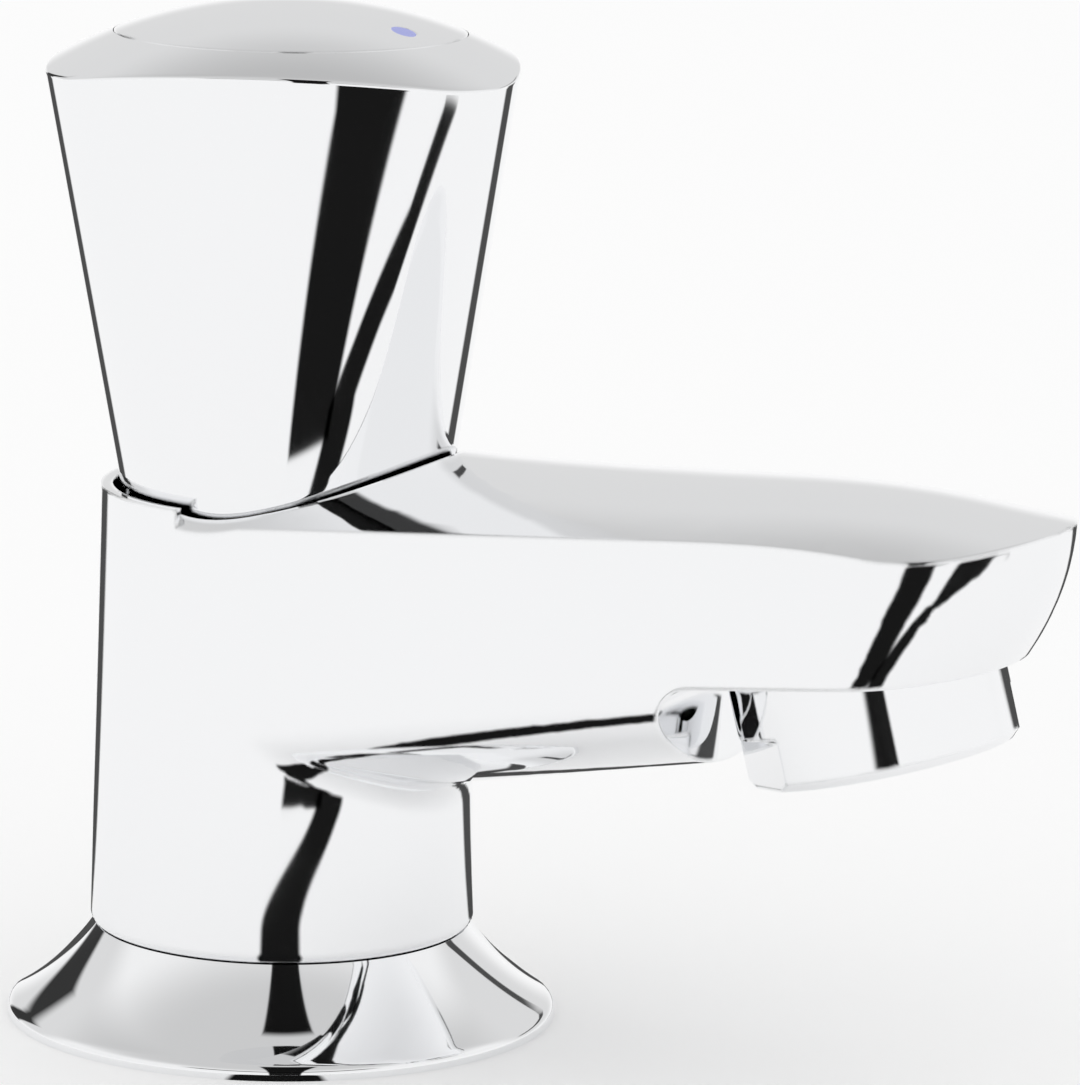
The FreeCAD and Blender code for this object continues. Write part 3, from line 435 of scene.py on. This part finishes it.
CHROME = chrome("chrome")
CAST_CHROME = soften_edges(chrome("chrome on cast edges"), EDGE_SOFTNESS)
BRASS = add_grain(finish_of("brass", (0.78, 0.6, 0.3), 1.0, 0.28), 900.0, 0.02 * MM)
STEEL = add_grain(finish_of("steel", (0.62, 0.62, 0.63), 1.0, 0.3), 1500.0, 0.01 * MM)
RUBBER = add_grain(finish_of("rubber", (0.02, 0.02, 0.021), 0.0, 0.6), 1200.0, 0.04 * MM)
CERAMIC = add_grain(finish_of("ceramic", (0.86, 0.84, 0.8), 0.0, 0.15), 2500.0, 0.002 * MM)
PLASTIC = add_grain(finish_of("white plastic", (0.82, 0.82, 0.81), 0.0, 0.45), 1800.0, 0.01 * MM)
BLUE = add_grain(finish_of("cold blue", (0.33, 0.36, 0.75), 0.0, 0.3), 1500.0, 0.005 * MM)

SLOT_FINISH = {
    "chrome": CAST_CHROME,
    "brass": BRASS,
    "steel": STEEL,
    "rubber": RUBBER,
    "seal": RUBBER,
    "ceramic": CERAMIC,
    "white_plastic": PLASTIC,
    "blue": BLUE,
}


def dress(piece, material):
    piece.data.materials.clear()
    piece.data.materials.append(material)


def dress_solids():
    """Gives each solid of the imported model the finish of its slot."""
    for part in frame["record"]["subparts"]:
        dress(NODES[part["node"]], SLOT_FINISH[part["material_slot"]])


def finish_piece(piece, material, body, node_name):
    dress(piece, material)
    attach(piece, body)
    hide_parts(node_name)


# Pieces drawn out through loops that run round the axis

STEPS = 360
SMOOTH_UP_TO = math.radians(30.0)
MERGE_WITHIN = 1e-7


def angles():
    return [2 * math.pi * n / STEPS for n in range(STEPS)]


def ring(radius, height):
    return [Vector((radius * math.cos(a), radius * math.sin(a), height)) for a in angles()]


def bow(start, pull, end, share):
    """A point of the curve that leaves start towards pull and comes from there to end."""
    return start * (1 - share) ** 2 + pull * 2 * share * (1 - share) + end * share * share


def round_from_x(points):
    """The numbers of a circle's points, in their order round the axis from +X."""
    return sorted(range(len(points)), key=lambda n: math.atan2(points[n].co.y, points[n].co.x) % math.tau)


def copy_of(point):
    """The new point that the last extrusion drew out of this one."""
    ends = (edge.other_vert(point) for edge in point.link_edges)
    return next(end.index for end in ends if end.select)


def lay(piece, order, loop):
    """Lays the points on the spots of a loop."""
    points = points_of(piece)
    for n, spot in zip(order, loop):
        points[n].co = spot
    bmesh.update_edit_mesh(piece.data)


def close_skin(smooth_up_to):
    """Merges the seams of the piece in edit mode, fills open ends and turns its faces outwards."""
    bpy.ops.mesh.select_all(action="SELECT")
    bpy.ops.mesh.remove_doubles(threshold=MERGE_WITHIN)
    bpy.ops.mesh.fill_holes(sides=0)
    bpy.ops.mesh.select_all(action="SELECT")
    bpy.ops.mesh.normals_make_consistent(inside=False)
    bpy.ops.object.mode_set(mode="OBJECT")
    bpy.ops.object.shade_smooth_by_angle(angle=smooth_up_to)


def drawn_out(name, loops):
    """A closed skin: a circle laid on the first loop, drawn out through the others and back to the first."""
    deselect()
    bpy.ops.mesh.primitive_circle_add(vertices=STEPS, radius=1.0, location=(0, 0, 0))
    piece = bpy.context.object
    piece.name = name
    bpy.ops.object.mode_set(mode="EDIT")
    bpy.ops.mesh.select_all(action="SELECT")
    order = round_from_x(points_of(piece))
    lay(piece, order, loops[0])
    for loop in loops[1:] + loops[:1]:
        bpy.ops.mesh.extrude_edges_move()
        points = points_of(piece)
        order = [copy_of(points[n]) for n in order]
        lay(piece, order, loop)
    close_skin(SMOOTH_UP_TO)
    return piece


# Handle

HANDLE_FOOT, HANDLE_RIM = 46.2 * MM, 86.4 * MM
HANDLE_TALL = HANDLE_RIM - HANDLE_FOOT
HANDLE_FOOT_RADIUS, HANDLE_CORNER, HANDLE_OFFSET = 14.4 * MM, 12.0 * MM, 10.3 * MM
HANDLE_TURN = math.radians(-12.0)
HANDLE_WALL = 2.0 * MM
HANDLE_LIP = 0.25 * MM
# Where the loops lie: the second one as a share of the height, the last below the rim in lips.
FOOT_EDGE, BELOW_LIP = 0.002, 1.3
FLANK_LOOPS, LIP_LOOPS, DOME_LOOPS = 8, 5, 12
RIM_ROUNDS = 12
SAME_ANGLE = 1e-9
DOME_RISE = 5.4 * MM
DOME_REACH = HANDLE_CORNER + HANDLE_OFFSET * 0.866
DOME_RADIUS = (DOME_REACH ** 2 + DOME_RISE ** 2) / 2 / DOME_RISE
DOME_CENTRE = HANDLE_RIM + DOME_RISE - DOME_RADIUS
CAP_WELL, CAP_SINK, CLIP_HOLE = 15.68 * MM, 1.68 * MM, 12.58 * MM
WEB_TOP, WEB_FLOOR, HUB_FLOOR = 69.4 * MM, 67.0 * MM, 52.7 * MM
HUB_RADIUS, INSERT_RADIUS, SCREW_HOLE = 7.6 * MM, 6.2 * MM, 2.2 * MM


def lobed_spot(angle, share, shrink=0.0):
    """A point of the handle's three-sided outline by the direction of its outward normal."""
    third = 2 * math.pi / 3
    nose = HANDLE_TURN + third * round((angle - HANDLE_TURN) / third)
    if abs(angle - nose) <= math.pi / 6 + SAME_ANGLE:
        middle, shift, end_radius = nose, HANDLE_OFFSET, HANDLE_CORNER
    else:
        middle = nose + math.copysign(third / 2, angle - nose)
        shift, end_radius = -HANDLE_OFFSET, HANDLE_CORNER + HANDLE_OFFSET * math.sqrt(3)
    radius = HANDLE_FOOT_RADIUS + (end_radius - HANDLE_FOOT_RADIUS) * share - shrink
    return Vector((shift * share * math.cos(middle) + radius * math.cos(angle),
                   shift * share * math.sin(middle) + radius * math.sin(angle), 0.0))


def dome_height(spot, drop=0.0):
    return DOME_CENTRE + math.sqrt((DOME_RADIUS - drop) ** 2 - spot.x ** 2 - spot.y ** 2)


def rim_share(angle):
    """How far up the handle's flank, counted from the foot, the dome cuts it off."""
    share = 1.0
    for _ in range(RIM_ROUNDS):
        share = (dome_height(lobed_spot(angle, share)) - HANDLE_FOOT) / HANDLE_TALL
    return share


def flank(share_of, shrink=0.0):
    """A loop on the handle's flank; share_of gives the height of each point from its angle."""
    loop = []
    for angle in angles():
        share = share_of(angle)
        spot = lobed_spot(angle, share, shrink)
        spot.z = HANDLE_FOOT + share * HANDLE_TALL
        loop.append(spot)
    return loop


def flank_loops():
    """Loops up the flank and over the softly rounded rim, and the loop on the dome that they lead to."""
    rim = {angle: rim_share(angle) for angle in angles()}
    lip = HANDLE_LIP / HANDLE_TALL
    loops = [flank(lambda a: 0.0), flank(lambda a: FOOT_EDGE)]
    for n in range(1, FLANK_LOOPS + 1):
        loops.append(flank(lambda a: (rim[a] - BELOW_LIP * lip) * n / FLANK_LOOPS))
    low, edge = flank(lambda a: rim[a] - lip), flank(lambda a: rim[a])
    loops.append(low)
    inner = []
    for spot in edge:
        drawn = spot * (1 - HANDLE_LIP / Vector((spot.x, spot.y)).length)
        drawn.z = dome_height(drawn)
        inner.append(drawn)
    for n in range(1, LIP_LOOPS):
        loops.append([bow(a, b, c, n / LIP_LOOPS) for a, b, c in zip(low, edge, inner)])
    return loops, inner


def dome_loops(outer):
    """Loops over the dome, from the outer one in to the cap's well."""
    well = ring(CAP_WELL, 0.0)
    loops = []
    for n in range(DOME_LOOPS + 1):
        loop = [a.lerp(b, n / DOME_LOOPS) for a, b in zip(outer, well)]
        for spot in loop:
            spot.z = dome_height(spot)
        loops.append(loop)
    return loops


def inside_loops():
    """Loops down the cap's well, through the web and round the hub, and out to the wall at the foot."""
    loops = []
    for radius in (CAP_WELL, CLIP_HOLE):
        loops.append(ring(radius, dome_height(Vector((radius, 0.0)), CAP_SINK)))
    for radius, height in ((CLIP_HOLE, WEB_TOP), (SCREW_HOLE, WEB_TOP), (SCREW_HOLE, WEB_FLOOR),
                           (INSERT_RADIUS, WEB_FLOOR), (INSERT_RADIUS, HUB_FLOOR),
                           (HUB_RADIUS, HUB_FLOOR), (HUB_RADIUS, WEB_FLOOR)):
        loops.append(ring(radius, height))
    web = (WEB_FLOOR - HANDLE_FOOT) / HANDLE_TALL
    return loops + [flank(lambda a: web, HANDLE_WALL), flank(lambda a: 0.0, HANDLE_WALL)]


def handle_skin():
    """The three-sided handle: flanks, a softly rounded rim, the dome, the cap's well, web and hub."""
    loops, inner = flank_loops()
    loops += dome_loops(inner) + inside_loops()
    finish_piece(drawn_out("handle_skin", loops), CHROME, "handle", "handle_shell")


# Flange

FLANGE_RADIUS, FLANGE_RIM, FLANGE_EDGE = 24.8 * MM, 1.0 * MM, 0.5 * MM
FLANGE_TOP, FLANGE_HEIGHT, FLANGE_BEND = 16.9 * MM, 8.4 * MM, 22.0 * MM
FLANGE_BORE, FLANGE_RECESS, FLANGE_SINK = 10.78 * MM, 20.8 * MM, 2.2 * MM
BEND_STEPS, EDGE_STEPS = 28, 5


def flange_bend():
    """The hollow curve from the flange's rim to its top, as distances from the axis and heights."""
    foot, top = Vector((FLANGE_RADIUS, FLANGE_RIM)), Vector((FLANGE_TOP, FLANGE_HEIGHT))
    chord = top - foot
    aside = Vector((chord.y, -chord.x)).normalized()
    depth = math.sqrt(FLANGE_BEND ** 2 - (chord.length / 2) ** 2)
    centre = (foot + top) / 2 + aside * depth
    start = math.atan2(foot.y - centre.y, foot.x - centre.x)
    end = math.atan2(top.y - centre.y, top.x - centre.x)
    turn = (end - start + math.pi) % math.tau - math.pi
    spots = []
    for n in range(BEND_STEPS + 1):
        angle = start + turn * n / BEND_STEPS
        spots.append(centre + FLANGE_BEND * Vector((math.cos(angle), math.sin(angle))))
    return spots


def flange_skin():
    """The skirt on the deck: a hollow cone with a rounded rim and a recess for its gasket."""
    curve = flange_bend()
    foot = Vector((FLANGE_RADIUS, FLANGE_RIM))
    begin = foot - Vector((0.0, FLANGE_EDGE))
    profile = [Vector((FLANGE_RADIUS, 0.0))]
    profile += [bow(begin, foot, curve[2], n / EDGE_STEPS) for n in range(EDGE_STEPS + 1)]
    profile += curve[3:]
    for radius, height in ((FLANGE_BORE, FLANGE_HEIGHT), (FLANGE_BORE, FLANGE_SINK),
                           (FLANGE_RECESS, FLANGE_SINK), (FLANGE_RECESS, 0.0)):
        profile.append(Vector((radius, height)))
    skin = drawn_out("flange_skin", [ring(spot.x, spot.y) for spot in profile])
    finish_piece(skin, CHROME, "tap", "base_flange")


# Threaded tail

PITCH = 1.814 * MM
CREST, ROOT = 10.46 * MM, 9.35 * MM
SHANK_BORE, SHANK_CHAMFER = 6.8 * MM, 0.4 * MM
SHANK_FOOT, SHANK_NECK, SHANK_TOP = -48.0 * MM, -0.5 * MM, 18.2 * MM
# Each run of the thread by the height that it starts from and its turns.
THREAD_RUNS = ((-47.0 * MM, 9), (-27.3 * MM, 14))
THREAD_STEPS = 48
THREAD_SINK = 0.15 * MM
THREAD_CREST, THREAD_FOOT = 0.1 * PITCH, 0.44 * PITCH
THREAD_SMOOTH_UP_TO = math.radians(25.0)


def thread_run(start, turns):
    """One run of the thread: its section stood beside the tube, screwed round it and closed at both ends."""
    deselect()
    bpy.ops.mesh.primitive_plane_add(size=1.0, location=(0, 0, 0))
    run = bpy.context.object
    bpy.ops.object.mode_set(mode="EDIT")
    for point in points_of(run):
        outside = point.co.x > 0
        radius = CREST if outside else ROOT - THREAD_SINK
        half = THREAD_CREST if outside else THREAD_FOOT
        point.co = (radius, 0.0, start + PITCH / 2 + math.copysign(half, point.co.y))
    bmesh.update_edit_mesh(run.data)
    bpy.ops.object.mode_set(mode="OBJECT")
    screw = run.modifiers.new("screw", "SCREW")
    screw.axis = "Z"
    screw.angle = math.tau
    screw.screw_offset = PITCH
    screw.iterations = turns
    screw.steps = THREAD_STEPS
    screw.render_steps = THREAD_STEPS
    bpy.ops.object.modifier_apply(modifier="screw")
    bpy.ops.object.mode_set(mode="EDIT")
    close_skin(THREAD_SMOOTH_UP_TO)
    return run


def shank_skin():
    """The threaded tail: a plain tube, and over it the two runs of its thread."""
    profile = ((SHANK_BORE, SHANK_FOOT), (ROOT - SHANK_CHAMFER, SHANK_FOOT),
               (ROOT, SHANK_FOOT + SHANK_CHAMFER), (ROOT, SHANK_NECK), (CREST, SHANK_NECK),
               (CREST, SHANK_TOP), (SHANK_BORE, SHANK_TOP))
    tube = drawn_out("shank_skin", [ring(radius, height) for radius, height in profile])
    runs = [thread_run(start, turns) for start, turns in THREAD_RUNS]
    deselect()
    for part in runs + [tube]:
        part.select_set(True)
    bpy.context.view_layer.objects.active = tube
    bpy.ops.object.join()
    finish_piece(tube, BRASS, "tap", "threaded_shank")


dress_solids()
handle_skin()
flange_skin()
shank_skin()
make_world()
make_deck()
make_camera()
bpy.context.scene.view_settings.view_transform = "Standard"
